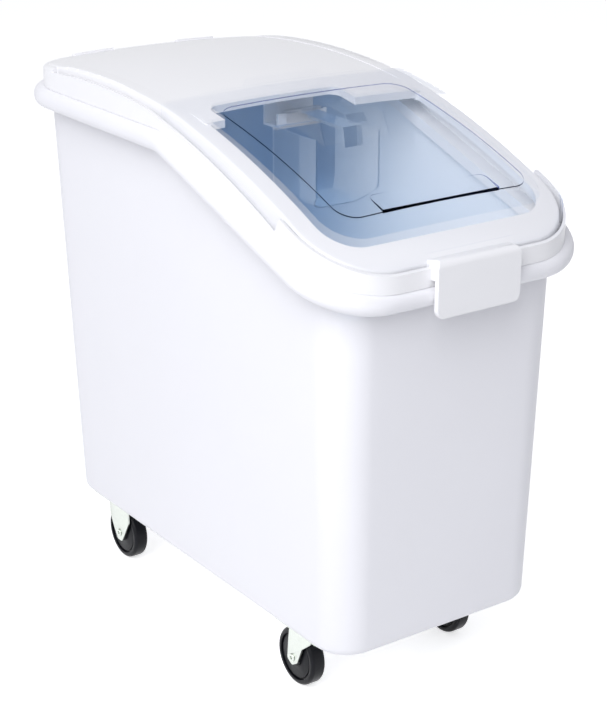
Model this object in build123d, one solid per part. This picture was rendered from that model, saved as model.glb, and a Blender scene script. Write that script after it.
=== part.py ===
from build123d import *
from math import cos, hypot, radians, sin, sqrt, tan
import os

# Rolling ingredient bin. Millimetres, +Z up, front towards -Y, origin on the floor under the middle.

# Tub
floor_height = 93.0
mouth_height = 644.5
wall = 4.0
base_half_width = 153.5
base_front = -320.0
base_rear = 316.0
base_corner = 45.0
base_edge_round = 12.0
mouth_half_width = 167.5
mouth_front = -334.5
mouth_rear = 339.0
mouth_corner = 52.0

# Rolled rim: level along the rear, sloping down along the front
rim_half_width = 197.0
rim_front = -362.0
rim_rear = 370.0
rim_front_corner = 88.0
rim_rear_corner = 98.0
rim_height = 26.0
rim_round = 12.2
rim_slope_deg = 19.0
rim_bend_y = -3.0
rim_bend_radius = 60.0
rim_skin = 4.0

# Lid frame
seat_gap = 0.3
rail_radius = 1184.0
crown_y = 158.0
rail_top = 707.5
arc_z = rail_top - rail_radius
shell = 3.0
crown_half_width = 187.0
band_half_width = 186.0
band_front = -357.0
band_rear = 357.0
band_front_corner = 88.0
band_rear_corner = 92.0
band_wall = 3.2
band_drop = 8.5
slot_rear = 262.0
flank_half_width = 178.6
flank_front = -349.5
flank_rear = 350.0
flank_front_corner = 80.5
flank_rear_corner = 85.0
skirt_clearance = 1.0
rail_width = 21.0
rail_rear = 303.0
rail_round = 4.0
rear_round = 6.0
cover_drop = 2.6
cover_crown = 6.1
cover_front = -62.0
cover_corner = 2.0
cover_hollow_corner = 20.0
recess_left = -132.0
recess_right = 56.0
recess_back = -22.0
recess_corner = 14.0
opening_half_width = 153.0
opening_front = -313.0
opening_corner = 42.0
opening_rear_corner = 4.0
opening_lip = 9.0
plug_half_width = 158.0
plug_front = -324.5
plug_rear = 330.0
plug_corner = 40.0
plug_depth = 12.0
stop_y = 343.0
stop_depth = 6.0
stop_height = 2.6
stop_inner_x = 49.0
stop_outer_x = 111.0
tab_half_width = 59.0
tab_top = 581.0
tab_bottom = 513.0
tab_front = -370.0
tab_thickness = 6.6
tab_root_y = -346.5
tab_root_z = 557.0
tab_round = 8.0
tab_corner = 11.0
tab_fall = 4.0

# Clear lid, and the axis that it slides about
slide_axis_y = crown_y + 60.0
lid_gap = 0.4
lid_thickness = 2.6
lid_crown = 5.0
lid_half_width = 182.0
lid_front = -353.0
lid_rear = 5.0
lid_front_corner = 84.0
lid_rear_corner = 10.0
lid_round = 7.0
skirt_depth = 18.5
flange_axis_y = 266.0
flange_reach = 1193.4
hook_y = -240.0
hook_lean_deg = 27.0
hook_round = 2.0
edge_gap = 1.0
notch_half_width = 62.0
notch_height = 13.0
notch_reach = 30.0
panel_half_width = 134.0
panel_front = -300.0
panel_rear = -45.0
panel_corner = 24.0
panel_rise = 1.2
ledge_half_width = 83.0
ledge_rear = -272.0
ledge_front = -301.0
ledge_height = 3.6
ledge_step = 1.2
ledge_corner = 9.0
bead_half_width = 124.0
bead_size = 1.6
tongue_base_half = 66.0
tongue_top_half = 53.0
tongue_length = 13.0
tongue_lean_deg = 50.0
tongue_thickness = 2.4

# Scoop and its bracket
scoop_x = 27.0
bracket_width = 74.0
bracket_front = 8.0
bracket_rear = 40.0
bracket_low = 646.0
bracket_high = 664.0
bracket_skin = 3.0
bracket_lip = 7.0
scoop_wall = 2.2
scoop_half_width = 48.0
scoop_back = 3.5
scoop_front = -88.0
scoop_depth = 92.0
scoop_round = 26.0
scoop_top = 652.0
scoop_mouth_run = 22.0
scoop_mouth_rise = 21.0
scoop_hook_root = 10.0
handle_width = 27.0
handle_thickness = 4.0
handle_end_y = -96.0
handle_end_z = 665.0
handle_drop = 24.0

# Casters
caster_x = 115.0
front_pin_y = -220.0
rear_axle_y = 234.0
trail = 27.5
plate_width = 60.0
plate_length = 92.0
plate_thickness = 3.0
plate_corner = 6.0
bolt_spacing_x = 38.0
bolt_spacing_y = 74.0
bolt_radius = 3.0
bolt_hole_radius = 3.25
bolt_head_radius = 7.0
bolt_head_height = 3.0
nut_flats = 10.0
nut_height = 5.0
wheel_radius = 37.5
wheel_width = 20.5
tread_round = 4.5
hub_half_length = 11.6
hub_radius = 12.5
web_half = 9.0
groove_inner = 28.0
groove_outer = 30.5
groove_depth = 2.5
bush_radius = 6.5
bush_half_length = 12.2
running_gap = 0.06
axle_radius = 4.0
leg_inner = 12.4
leg_thickness = 2.6
axle_head_radius = 5.4
axle_head_height = 1.6
axle_head_round = 1.2
axle_bore = 2.2
axle_bore_depth = 6.0
axle_tail = 0.6
collar_radius = 6.0
collar_height = 2.6
pin_radius = 5.0
race_radius = 17.0
ball_radius = 2.6
ball_count = 8
crown_radius = 24.0
crown_skin = 2.6
boss_height = 2.0
race_seat = 2.8
race_dish = 2.0
pin_head_height = 3.5

# Reach of the blocks that shapes are cut with
far = 420.0
tall = 900.0
drum_depth = 300.0
drum_start_deg = -16.0
drum_sweep_deg = 52.0
end_zone = 300.0


# Shared shapes

def prism(half_width, front, rear, corner, low=0.0, high=tall):
    """Upright block over a rounded plan outline."""
    plan = Pos(0, (front + rear) / 2, low) * RectangleRounded(2 * half_width, rear - front, corner)
    return extrude(plan, high - low)


def outline_block(half_width, front, rear, front_corner, rear_corner, inset):
    """Upright block whose plan has its own corner rounding in front and behind, inset all round."""
    fore = prism(half_width - inset, front + inset, rear + far, front_corner - inset)
    aft = prism(half_width - inset, front - far, rear - inset, rear_corner - inset)
    return fore & aft


def side_block(points, half_width=far, x=0.0):
    """Block of a closed side-view outline, given as (y, z) points, across the width."""
    face = make_face(Plane.YZ * Polyline(*points, close=True))
    return Pos(x, 0, 0) * extrude(face, half_width, both=True)


def rim_line(y, offset):
    """Height of the rim's underside at y, plus an offset."""
    slope = tan(radians(rim_slope_deg))
    return mouth_height + offset + min(0.0, (y - rim_bend_y) * slope)


def below_rim(offset):
    """Everything below the bent rim line, raised by the offset."""
    line = [(y, rim_line(y, offset)) for y in (far, rim_bend_y, -far)]
    face = make_face(Plane.YZ * Polyline(*line, (-far, 0), (far, 0), close=True))
    bend = face.vertices().sort_by_distance((0, rim_bend_y, rim_line(rim_bend_y, offset)))[0]
    return extrude(fillet(bend, rim_bend_radius), far, both=True)


def rim_band(low, high):
    """Bent slab that follows the rim, between two offsets from its underside."""
    return below_rim(high) - below_rim(low)


def drum(radius, center_y=crown_y):
    """Cylinder across the width about the rail arc's centre, or about another centre at its height."""
    return Pos(0, center_y, arc_z) * Cylinder(radius, 2 * far, rotation=(0, 90, 0))


def crowned_drum(edge_radius, rise):
    """Drum whose skin also rises towards the middle of the width."""
    edge = crown_half_width
    side_z = arc_z + edge_radius
    low_z = side_z - drum_depth
    skin = ThreePointArc((-edge, crown_y, side_z), (0, crown_y, side_z + rise), (edge, crown_y, side_z))
    corners = [(edge, side_z), (edge, low_z), (-edge, low_z), (-edge, side_z)]
    sides = Polyline(*[(x, crown_y, z) for x, z in corners])
    axis = Axis((0, crown_y, arc_z), (1, 0, 0))
    profile = make_face(skin + sides).rotate(axis, drum_start_deg)
    return revolve(profile, axis, drum_sweep_deg)


def arc_height(y, radius):
    """Height of the rail arc of the given radius at y."""
    return arc_z + sqrt(radius ** 2 - (y - crown_y) ** 2)


# Tub

def tub_section(z, grow):
    """Plan outline of the tapered tub at height z, grown outward."""
    share = (z - floor_height) / (mouth_height - floor_height)
    half = base_half_width + (mouth_half_width - base_half_width) * share + grow
    front = base_front + (mouth_front - base_front) * share - grow
    rear = base_rear + (mouth_rear - base_rear) * share + grow
    corner = base_corner + (mouth_corner - base_corner) * share + grow
    return Pos(0, (front + rear) / 2, z) * RectangleRounded(2 * half, rear - front, corner)


def tub_block(low, high, grow=0.0):
    """Tapered tub-shaped block between two heights."""
    return loft([tub_section(low, grow), tub_section(high, grow)])


def rim_block(inset):
    """Upright block of the rim's outline."""
    return outline_block(rim_half_width, rim_front, rim_rear, rim_front_corner, rim_rear_corner, inset)


def rim_plate(inset, rounding):
    """Bent plate of the rim's outline with bullnose edges, inset all round."""
    plate = rim_block(inset) & rim_band(inset, rim_height - inset)

    def on_outline(edge):
        middle = edge.position_at(0.5)
        upright = abs(edge.tangent_at(0.5).Z) > 0.9
        across = abs(middle.X) < 1 and abs(middle.Y - rim_bend_y) < 3 * rim_bend_radius
        return not upright and not across

    return fillet(plate.edges().filter_by(on_outline), rounding)


def make_tub():
    """Tapered tub with a rolled rim that is open underneath, and the caster bolt holes."""
    top = mouth_height + 2 * rim_height
    outside = tub_block(floor_height, top)
    outside = fillet(outside.edges().group_by(Axis.Z)[0], base_edge_round)
    inside = tub_block(floor_height + wall, top + 1, -wall)
    inside = fillet(inside.edges().group_by(Axis.Z)[0], base_edge_round - wall)
    roll = rim_plate(rim_skin, rim_round - rim_skin) - outside
    mouth_of_roll = (rim_block(rim_round) & rim_band(-1, rim_skin + 1)) - outside
    body = (outside & below_rim(rim_height)) + rim_plate(0, rim_round)
    body = body - inside - roll - mouth_of_roll
    for x, y in bolt_places():
        body -= Pos(x, y, floor_height) * Cylinder(bolt_hole_radius, 4 * wall)
    return body


def caster_plates():
    """Centres of the four caster plates: name, x and y."""
    return [
        ("front_left", -caster_x, front_pin_y),
        ("front_right", caster_x, front_pin_y),
        ("rear_left", -caster_x, rear_axle_y),
        ("rear_right", caster_x, rear_axle_y),
    ]


def plate_corners(x, y):
    """Bolt positions of one caster plate."""
    return [
        (x + sx * bolt_spacing_x / 2, y + sy * bolt_spacing_y / 2)
        for sx in (-1, 1)
        for sy in (-1, 1)
    ]


def bolt_places():
    """Every caster bolt position under the tub."""
    return [spot for _, x, y in caster_plates() for spot in plate_corners(x, y)]


# Lid frame

def skirt_reach():
    """Radius, about the sliding axis, of the lower edge of the clear lid's front skirt."""
    low_z = arc_height(lid_front, rail_radius) - skirt_depth
    return hypot(lid_front - slide_axis_y, low_z - arc_z)


def frame_top(offset):
    """Everything below the frame's rails and border, lowered by the offset."""
    border = drum(skirt_reach() - skirt_clearance - offset, slide_axis_y)
    return drum(rail_radius - offset) & border


def behind(y):
    """Everything behind y."""
    return side_block([(y, 0), (far, 0), (far, tall), (y, tall)])


def flank(inset):
    """Upright block of the outline of the rails and the border."""
    corners = (flank_front_corner, flank_rear_corner)
    return outline_block(flank_half_width, flank_front, flank_rear, *corners, inset)


def band(inset):
    """Upright block of the outline of the band that stands on the rim."""
    return outline_block(band_half_width, band_front, band_rear, band_front_corner, band_rear_corner, inset)


def plug(inset):
    """Upright block of the outline that locates the frame inside the tub's mouth."""
    return prism(plug_half_width - inset, plug_front + inset, plug_rear - inset, plug_corner - inset)


def access_opening(grow):
    """Upright block of the access opening and of the recess behind it, grown outward."""
    half = opening_half_width + grow
    edge = cover_front + grow
    front = prism(half, opening_front - grow, edge, opening_corner + grow)
    rear = prism(half, cover_front - 2 * opening_corner, edge, opening_rear_corner + grow)
    recess_half = (recess_right - recess_left) / 2 + grow
    recess = prism(recess_half, cover_front - recess_corner, recess_back + grow, recess_corner + grow)
    return front + rear + Pos((recess_left + recess_right) / 2, 0, 0) * recess


def make_tab():
    """Moulded tab in front of the rim."""
    back = tab_front + tab_thickness
    profile = make_face(
        Plane.YZ
        * Polyline(
            (tab_root_y, tab_top - tab_fall),
            (tab_front, tab_top),
            (tab_front, tab_bottom),
            (back, tab_bottom),
            (back, tab_root_z),
            (tab_root_y, tab_root_z),
            close=True,
        )
    )
    front_top = profile.vertices().sort_by_distance((0, tab_front, tab_top))[0]
    profile = fillet(front_top, tab_round)
    lower = profile.vertices().group_by(Axis.Z)[0]
    profile = fillet(lower, tab_thickness / 2 - 0.1)
    height = tab_top - tab_bottom
    outline = RectangleRounded(2 * tab_half_width, height, tab_corner)
    face = Plane.XZ * Pos(0, tab_bottom + height / 2) * outline
    return extrude(profile, tab_half_width, both=True) & extrude(face, far, both=True)


def top_outline(shape, low, rear):
    """Edges round a shape's upper outline, in front of a rear limit, without the lines that cross it."""

    def chosen(edge):
        middle = edge.position_at(0.5)
        level = abs(edge.tangent_at(0.5).Z) < 0.9
        around = abs(middle.X) > 1 or abs(middle.Y) > end_zone
        return level and around and middle.Y < rear and middle.Z > rim_line(middle.Y, low)

    return shape.edges().filter_by(chosen)


def make_lid_frame():
    """White lid frame: band, slots for the clear lid, rails, crowned cover, border, stops and front tab."""
    seat = rim_height + seat_gap
    above_seat = rim_band(seat, seat + tall / 2)
    cover_radius = rail_radius - cover_drop
    cover_top = crowned_drum(cover_radius, cover_crown)
    cover_under = crowned_drum(cover_radius - shell, cover_crown)

    inner_half = flank_half_width - rail_width
    rails = flank(0) & above_seat & frame_top(0)
    rails = fillet(top_outline(rails, seat + 2 * shell, far), rail_round) - behind(rail_rear)
    trough = prism(inner_half, cover_front, flank_rear + far, cover_corner) & above_seat
    rear = band(0) & behind(slot_rear) & above_seat & cover_top
    rear = fillet(top_outline(rear, seat + 2 * shell, far), rear_round)
    body = rails - trough + (trough & flank(0) & cover_top) + rear

    border_hollow = flank(shell) & frame_top(shell)
    rear_plan = flank(shell) + (band(shell + 1) & behind(slot_rear + shell))
    body -= border_hollow - behind(cover_front)
    body -= rear_plan & cover_under & frame_top(cover_drop + shell) & behind(cover_front)
    body -= prism(inner_half, cover_front, flank_rear - shell, cover_hollow_corner) & cover_under

    body += (band(0) & rim_band(seat, seat + shell)) - plug(shell)
    body += (plug(0) & rim_band(seat - plug_depth, seat + shell)) - plug(shell)
    wall_top = below_lid_edge(edge_gap) & drum(rail_radius - band_drop)
    body += (band(0) - band(band_wall)) & above_seat & wall_top

    hem = access_opening(shell)
    front_hem = (hem - behind(cover_front)) & (frame_top(1) - frame_top(opening_lip))
    hem_top = crowned_drum(cover_radius - 1, cover_crown)
    rear_hem = hem_top - crowned_drum(cover_radius - opening_lip, cover_crown)
    body += front_hem + (hem & behind(cover_front) & rear_hem)
    body -= access_opening(0) & rim_band(seat + shell + 1, seat + tall / 2)

    stop_skin = crowned_drum(cover_radius + stop_height, cover_crown) - hem_top
    stop = prism((stop_outer_x - stop_inner_x) / 2, stop_y, stop_y + stop_depth, 2)
    for side in (-1, 1):
        body += Pos(side * (stop_outer_x + stop_inner_x) / 2, 0, 0) * stop & stop_skin
    return body + make_tab()


# Clear lid

def lid_block(inset, top_radius):
    """Block under the lid's crowned surface, round in front and open behind, with its upper edge rounded."""
    plan = prism(lid_half_width - inset, lid_front + inset, far, lid_front_corner - inset)
    block = plan & crowned_drum(top_radius, lid_crown)
    return fillet(top_outline(block, 0, far - 10), lid_round - inset)


def lid_skin(low, high):
    """Crowned skin between two heights above the lid's underside."""
    base = rail_radius + lid_gap
    return crowned_drum(base + high, lid_crown) - crowned_drum(base + low, lid_crown)


def below_lid_edge(gap):
    """Everything lower than the lid's side flanges and front skirt, less a gap, with the step at the hooks."""
    flange = Pos(flange_axis_y, arc_z) * Circle(flange_reach - gap)
    skirt = Pos(slide_axis_y, arc_z) * Circle(skirt_reach() - gap)
    tip_y = hook_y - gap
    tip_z = arc_z + sqrt((flange_reach - gap) ** 2 - (tip_y - flange_axis_y) ** 2)
    lean = tan(radians(hook_lean_deg))
    line = [(tip_y + tip_z / 2 * lean, tip_z / 2), (tip_y - tip_z / 2 * lean, tip_z * 1.5)]
    flange_side = make_face(Polyline(*line, (far, tip_z * 1.5), (far, tip_z / 2), close=True))
    profile = (flange & flange_side) + (skirt - flange_side)
    step = profile.vertices().sort_by_distance((tip_y, tip_z))[:2]
    return extrude(Plane.YZ * fillet(step, hook_round), far, both=True)


def make_tongue():
    """Leaning tongue at the rear edge that the lid is pulled forward by."""
    shape = Polyline(
        (-tongue_base_half, 0, 0),
        (tongue_base_half, 0, 0),
        (tongue_top_half, 0, tongue_length),
        (-tongue_top_half, 0, tongue_length),
        close=True,
    )
    face = make_face(shape)
    face = fillet(face.vertices().group_by(Axis.Z)[-1], tongue_length / 2)
    plate = extrude(face, tongue_thickness / 2, dir=(0, 1, 0), both=True)
    root_z = arc_height(lid_rear, rail_radius) + lid_gap + lid_thickness + lid_crown
    return Pos(0, lid_rear - tongue_thickness, root_z - 1.5) * Rot(-tongue_lean_deg, 0, 0) * plate


def make_clear_lid():
    """Clear sliding lid: crowned plate, flanges with hooks, notched front skirt, panel, ledge, bead, tongue."""
    surface = rail_radius + lid_gap + lid_thickness
    plate = lid_block(0, surface) & prism(lid_half_width, lid_front - far, lid_rear, lid_rear_corner)
    body = plate - lid_block(lid_thickness, rail_radius + lid_gap) - below_lid_edge(0)
    low_edge = arc_height(lid_front, rail_radius) - skirt_depth
    body -= Pos(0, lid_front, low_edge) * Box(2 * notch_half_width, notch_reach, 2 * notch_height)
    body += prism(panel_half_width, panel_front, panel_rear, panel_corner) & lid_skin(1, lid_thickness + panel_rise)
    ledge = side_block(
        [
            (ledge_rear, arc_height(ledge_rear, surface) - 1),
            (ledge_rear, arc_height(ledge_rear, surface) + lid_crown + ledge_step),
            (ledge_front, arc_height(ledge_front, surface) + lid_crown + ledge_height),
            (ledge_front, arc_height(ledge_front, surface) - 1),
        ]
    )
    ledge &= prism(ledge_half_width, ledge_front - 2 * ledge_corner, ledge_rear, ledge_corner)
    body += ledge - crowned_drum(surface - 1, lid_crown)
    bead = prism(bead_half_width, lid_rear - 2 * bead_size, lid_rear, bead_size - 0.1)
    body += bead & lid_skin(1, lid_thickness + bead_size)
    return body + (make_tongue() - crowned_drum(surface - 1, lid_crown))


# Scoop and its bracket

def make_scoop_hook():
    """J-shaped bracket that hangs from the cover; the scoop hooks over its front lip."""
    top = arc_height(bracket_rear, rail_radius)
    outline = [
        (bracket_rear, top),
        (bracket_rear, bracket_low),
        (bracket_front, bracket_low),
        (bracket_front, bracket_high),
        (bracket_front + bracket_skin, bracket_high),
        (bracket_front + bracket_skin, bracket_low + bracket_skin),
        (bracket_rear - bracket_skin, bracket_low + bracket_skin),
        (bracket_rear - bracket_skin, top),
    ]
    block = side_block(outline, bracket_width / 2, scoop_x)
    under_cover = crowned_drum(rail_radius - cover_drop - shell, cover_crown)
    return block & under_cover


def make_scoop():
    """Clear scoop: rounded bowl open in front, lip over the bracket, flat handle with a turned-down end."""
    bowl = Box(2 * scoop_half_width, scoop_back - scoop_front, scoop_depth)
    bowl = Pos(scoop_x, (scoop_back + scoop_front) / 2, scoop_top - scoop_depth / 2) * bowl
    lower = bowl.edges().group_by(Axis.Z)[0]
    bowl = fillet(lower.filter_by(Axis.Y) + lower.sort_by(Axis.Y)[-1:], scoop_round)
    inside = offset(bowl, -scoop_wall) + Pos(0, -scoop_wall * 2, scoop_wall * 2) * offset(bowl, -scoop_wall)
    mouth = [
        (scoop_front, scoop_top - scoop_depth + scoop_mouth_rise),
        (scoop_front + scoop_mouth_run, scoop_top - scoop_depth),
        (scoop_front - scoop_mouth_run, scoop_top - scoop_depth - scoop_mouth_rise),
        (scoop_front - scoop_mouth_run, scoop_top - scoop_depth + 2 * scoop_mouth_rise),
    ]
    bowl = bowl - inside - side_block(mouth)
    hook_back = bracket_front + bracket_skin + 1.0
    hook = side_block(
        [
            (scoop_back, scoop_top - scoop_hook_root),
            (scoop_back, bracket_high + 1),
            (hook_back, bracket_high + 1),
            (hook_back, bracket_high - bracket_lip),
            (hook_back + scoop_wall, bracket_high - bracket_lip),
            (hook_back + scoop_wall, bracket_high + 1 + scoop_wall),
            (scoop_back - scoop_wall, bracket_high + 1 + scoop_wall),
            (scoop_back - scoop_wall, scoop_top - scoop_hook_root),
        ],
        handle_width,
        scoop_x,
    )
    grip = side_block(
        [
            (scoop_back - scoop_wall, bracket_high + 1 + scoop_wall),
            (handle_end_y, handle_end_z),
            (handle_end_y - handle_thickness, handle_end_z - handle_drop),
            (handle_end_y, handle_end_z - handle_drop),
            (handle_end_y + handle_thickness, handle_end_z - handle_thickness),
            (scoop_back - scoop_wall, bracket_high + 1 + scoop_wall - handle_thickness),
        ],
        handle_width / 2,
        scoop_x,
    )
    return bowl + hook + grip


# Casters

def hex_prism(flats, height):
    """Upright hexagonal prism on the floor plane."""
    return extrude(RegularPolygon(flats / sqrt(3), 6), height)


def make_plate_bolts(x, y):
    """Dome-headed bolts through the tub floor and one caster plate."""
    top = floor_height + wall
    head = Pos(0, 0, top) * extrude(Circle(bolt_head_radius), bolt_head_height)
    head = chamfer(head.edges().group_by(Axis.Z)[-1], bolt_head_height * 0.6)
    low = floor_height - plate_thickness - nut_height - 1.5
    shank = Pos(0, 0, low) * extrude(Circle(bolt_radius), top - low)
    return Compound(children=[Pos(bx, by, 0) * (head + shank) for bx, by in plate_corners(x, y)])


def make_plate_nuts(x, y):
    """Hexagon nuts under one caster plate."""
    low = floor_height - plate_thickness - nut_height
    nut = hex_prism(nut_flats, nut_height) - Cylinder(bolt_radius + running_gap, 4 * nut_height)
    return Compound(children=[Pos(bx, by, low) * nut for bx, by in plate_corners(x, y)])


def plate_block(x, y):
    """Drilled top plate of one caster."""
    low = floor_height - plate_thickness
    plate = Pos(x, y, low) * extrude(RectangleRounded(plate_width, plate_length, plate_corner), plate_thickness)
    for bx, by in plate_corners(x, y):
        plate -= Pos(bx, by, low) * Cylinder(bolt_hole_radius, 4 * plate_thickness)
    return plate


def make_swivel_plate(x, y):
    """Top plate with the raised ring that the balls bear on."""
    low = floor_height - plate_thickness
    boss = Pos(x, y, low - boss_height) * extrude(Circle(crown_radius), boss_height)
    boss = chamfer(boss.edges().group_by(Axis.Z)[0], boss_height * 0.6)
    bore = Pos(x, y, low) * Cylinder(pin_radius + running_gap, 4 * plate_thickness)
    return plate_block(x, y) + boss - bore


def race_height():
    """Height of the ball centres."""
    return floor_height - plate_thickness - boss_height - ball_radius


def make_balls(x, y):
    """Ring of balls between the plate and the fork."""
    ball = Sphere(ball_radius)
    turns = [360 / ball_count * index for index in range(ball_count)]
    spots = [(race_radius * cos(radians(turn)), race_radius * sin(radians(turn))) for turn in turns]
    return Compound(children=[Pos(x + bx, y + by, race_height()) * ball for bx, by in spots])


def make_kingpin(x, y):
    """Rivet that holds the fork under the plate."""
    crown_low = race_height() - race_seat - crown_skin
    head = Pos(x, y, crown_low - pin_head_height - running_gap) * extrude(Circle(2 * pin_radius), pin_head_height)
    head = chamfer(head.edges().group_by(Axis.Z)[0], pin_head_height * 0.6)
    low = crown_low - pin_head_height
    shank = Pos(x, y, low) * extrude(Circle(pin_radius), floor_height - 0.2 - low)
    return head + shank


def leg_pair(outline, rounding, x):
    """Two legs of a fork from one side-view outline, with the axle hole left for later."""
    face = make_face(Plane.YZ * Polyline(*outline, close=True))
    low = face.vertices().group_by(Axis.Z, tol_digits=3)
    face = fillet([vertex for group in low[:-1] for vertex in group], rounding)
    leg = extrude(face, leg_thickness, dir=(1, 0, 0))
    return Pos(x + leg_inner, 0, 0) * leg + Pos(x - leg_inner - leg_thickness, 0, 0) * leg


def axle_hole(x, y):
    """Hole through both legs for the axle rivet."""
    return Pos(x, y, wheel_radius) * Cylinder(axle_radius + running_gap, 80, rotation=(0, 90, 0))


def make_swivel_fork(x, y):
    """Swivel fork: dished crown with a ball groove, and two swept-back legs."""
    crown_top = race_height() - race_seat + race_dish
    crown_low = race_height() - race_seat - crown_skin
    axle_y = y + trail
    crown = Pos(x, y, crown_low) * extrude(Circle(crown_radius), crown_top - crown_low)
    bridge_front = y - 16
    bridge_rear = axle_y + 5
    bridge = Pos(x, (bridge_front + bridge_rear) / 2, crown_low) * Rectangle(
        2 * (leg_inner + leg_thickness), bridge_rear - bridge_front
    )
    crown += extrude(bridge, crown_skin)
    groove = Pos(x, y, race_height()) * Torus(race_radius, ball_radius + running_gap)
    outline = [
        (y - 16, crown_low + crown_skin),
        (y - 10, 71.0),
        (y + 7, 57.0),
        (axle_y - 11, 34.0),
        (axle_y, 27.0),
        (axle_y + 10, 33.0),
        (axle_y + 8, 58.0),
        (axle_y + 5, crown_low + crown_skin),
    ]
    bore = Pos(x, y, crown_low) * Cylinder(pin_radius + running_gap, 60)
    return crown + leg_pair(outline, 4.0, x) - groove - bore - axle_hole(x, axle_y)


def make_rigid_fork(x, y):
    """Rigid fork: top plate with two tapered legs."""
    top = floor_height - plate_thickness
    outline = [
        (y - 24, top),
        (y - 26, 60.0),
        (y - 15, 41.0),
        (y - 6, 26.0),
        (y + 6, 26.0),
        (y + 16, 42.0),
        (y + 25, 60.0),
        (y + 25, top),
    ]
    return plate_block(x, y) + leg_pair(outline, 5.0, x) - axle_hole(x, y)


def make_wheel(x, y):
    """Wheel: round-edged tread, grooved sides, recessed web and a longer hub."""
    half = wheel_width / 2
    outline = [
        (bush_radius, -hub_half_length),
        (hub_radius, -hub_half_length),
        (hub_radius, -web_half),
        (groove_inner, -web_half),
        (groove_inner, -web_half + groove_depth),
        (groove_outer, -web_half + groove_depth),
        (groove_outer, -half),
        (wheel_radius, -half),
    ]
    mirrored = [(radius, -width) for radius, width in reversed(outline)]
    face = make_face(Polyline(*outline, *mirrored, close=True))
    tread = face.vertices().group_by(Axis.X)[-1]
    face = fillet(tread, tread_round)
    solid = revolve(face, Axis.Y)
    return Pos(x, y, wheel_radius) * Rot(0, 0, 90) * solid


def make_bushing(x, y):
    """Sleeve on the axle rivet that the wheel turns on."""
    tube = Cylinder(bush_radius - running_gap, 2 * bush_half_length) - Cylinder(axle_radius + running_gap, 100)
    return Pos(x, y, wheel_radius) * Rot(0, 90, 0) * tube


def make_axle_bolt(x, y):
    """Axle rivet with its round, hollow head outward."""
    side = 1 if x > 0 else -1
    face_x = leg_inner + leg_thickness
    length = 2 * face_x + collar_height + axle_tail
    head = extrude(Circle(axle_head_radius), axle_head_height)
    head = fillet(head.edges().group_by(Axis.Z)[-1], axle_head_round)
    rivet = head + Pos(0, 0, -length) * extrude(Circle(axle_radius), length)
    rivet -= Pos(0, 0, axle_head_height) * Cylinder(axle_bore, 2 * axle_bore_depth)
    return Pos(x + side * face_x, y, wheel_radius) * Rot(0, side * 90, 0) * rivet


def make_axle_nut(x, y):
    """Round collar on the inner end of the axle rivet."""
    side = 1 if x > 0 else -1
    face_x = leg_inner + leg_thickness
    collar = extrude(Circle(collar_radius), collar_height)
    collar = fillet(collar.edges().group_by(Axis.Z)[-1], collar_height / 2)
    collar -= Cylinder(axle_radius + running_gap, 4 * collar_height)
    return Pos(x - side * face_x, y, wheel_radius) * Rot(0, -side * 90, 0) * collar


def build_all():
    """Every node of the bin, by name."""
    nodes = {}
    nodes["tub"] = make_tub()
    nodes["lid_frame"] = make_lid_frame()
    nodes["clear_lid"] = make_clear_lid()
    nodes["scoop_hook"] = make_scoop_hook()
    nodes["scoop"] = make_scoop()
    for name, x, y in caster_plates():
        swivels = name.startswith("front")
        axle_y = y + trail if swivels else y
        if swivels:
            nodes[name + "_plate"] = make_swivel_plate(x, y)
            nodes[name + "_kingpin"] = make_kingpin(x, y)
            nodes[name + "_balls"] = make_balls(x, y)
            nodes[name + "_fork"] = make_swivel_fork(x, y)
        else:
            nodes[name + "_fork"] = make_rigid_fork(x, y)
        nodes[name + "_wheel"] = make_wheel(x, axle_y)
        nodes[name + "_bushing"] = make_bushing(x, axle_y)
        nodes[name + "_axle_bolt"] = make_axle_bolt(x, axle_y)
        nodes[name + "_axle_nut"] = make_axle_nut(x, axle_y)
        nodes[name + "_plate_bolts"] = make_plate_bolts(x, y)
        nodes[name + "_plate_nuts"] = make_plate_nuts(x, y)
    return nodes


os.makedirs("parts", exist_ok=True)
for node, shape in build_all().items():
    export_step(shape, "parts/" + node + ".step")
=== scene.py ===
import math

import bmesh
import bpy
from mathutils import Euler, Matrix, Vector


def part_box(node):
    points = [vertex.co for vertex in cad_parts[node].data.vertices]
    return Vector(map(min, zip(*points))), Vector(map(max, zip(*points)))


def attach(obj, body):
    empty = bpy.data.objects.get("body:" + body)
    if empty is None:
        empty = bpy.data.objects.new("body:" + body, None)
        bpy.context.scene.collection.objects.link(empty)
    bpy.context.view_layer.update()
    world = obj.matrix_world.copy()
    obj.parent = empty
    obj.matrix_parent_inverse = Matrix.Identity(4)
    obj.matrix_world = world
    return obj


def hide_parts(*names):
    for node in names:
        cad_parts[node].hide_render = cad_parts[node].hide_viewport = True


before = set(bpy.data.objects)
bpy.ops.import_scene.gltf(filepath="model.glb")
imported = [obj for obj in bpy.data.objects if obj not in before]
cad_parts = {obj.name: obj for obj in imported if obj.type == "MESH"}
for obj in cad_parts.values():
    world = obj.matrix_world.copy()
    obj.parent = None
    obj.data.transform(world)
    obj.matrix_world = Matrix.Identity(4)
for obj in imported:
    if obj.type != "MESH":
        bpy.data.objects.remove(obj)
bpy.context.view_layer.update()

bl_info = {
    "name": "Rolling Ingredient Bin",
    "version": (1, 0, 0),
    "blender": (4, 5, 0),
    "location": "3D View > Sidebar > Bin",
    "description": "Dresses the packed slant-front ingredient bin and sets its studio",
    "category": "Object",
}

MM = 0.001
WHITE = (1.0, 1.0, 1.0, 1.0)

CASTERS = ("front_left", "front_right", "rear_left", "rear_right")
SWIVEL_CASTERS = ("front_left", "front_right")

# The tub's inside, and where painted shade darkens its colour towards the rear, under the cover
TUB_FLOOR = 97 * MM
INNER_FLOOR = 110 * MM
INNER_HALF_WIDTH = 168 * MM
INNER_HALF_LENGTH = 340 * MM
LEVEL_NORMAL = 0.5
PAINTED_SHADE_FRONT = 40 * MM
PAINTED_SHADE_REAR = 270 * MM
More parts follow.
